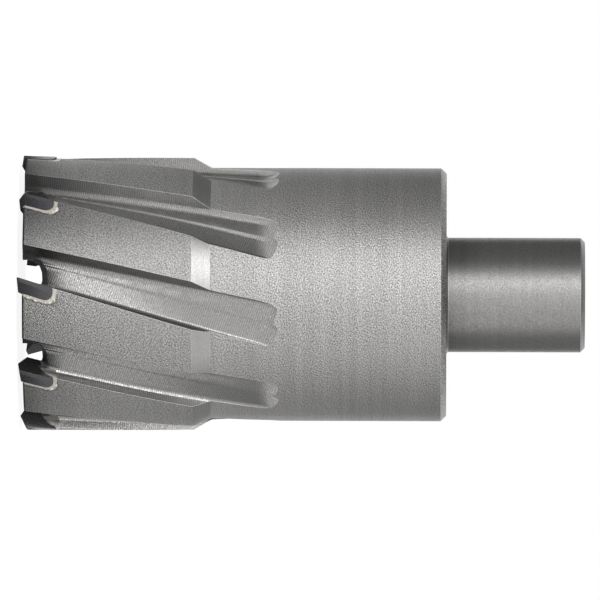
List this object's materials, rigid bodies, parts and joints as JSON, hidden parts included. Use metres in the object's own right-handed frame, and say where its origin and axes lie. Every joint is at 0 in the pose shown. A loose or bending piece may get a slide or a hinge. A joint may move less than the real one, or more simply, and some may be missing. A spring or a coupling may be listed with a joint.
{
  "type": "annular cutter",
  "caption": "Annular cutter with carbide tips brazed to a fluted steel cup body, a long slug cup inside and a round shank with two driving flats.",
  "frame": {"origin": "on the axis, in the plane of the foremost cutting tips that the cutter stands on", "axes": "+Z along the axis from the tips to the shank; -Y towards the side shown in the picture"},
  "size_m": [0.0457, 0.0457, 0.0938],
  "materials": {
    "tool_steel": "blasted satin grey, turned",
    "carbide": "smooth ground dark grey",
    "silver_solder": "pale, slightly lumpy"
  },
  "bodies": {
    "root": {"cutter_body": "tool_steel", "tooth_1": "carbide", "tooth_2": "carbide", "tooth_3": "carbide", "tooth_4": "carbide", "tooth_5": "carbide", "tooth_6": "carbide", "tooth_7": "carbide", "tooth_8": "carbide", "tooth_9": "carbide", "braze_1": "silver_solder", "braze_2": "silver_solder", "braze_3": "silver_solder", "braze_4": "silver_solder", "braze_5": "silver_solder", "braze_6": "silver_solder", "braze_7": "silver_solder", "braze_8": "silver_solder", "braze_9": "silver_solder"}
  },
  "joints": []
}
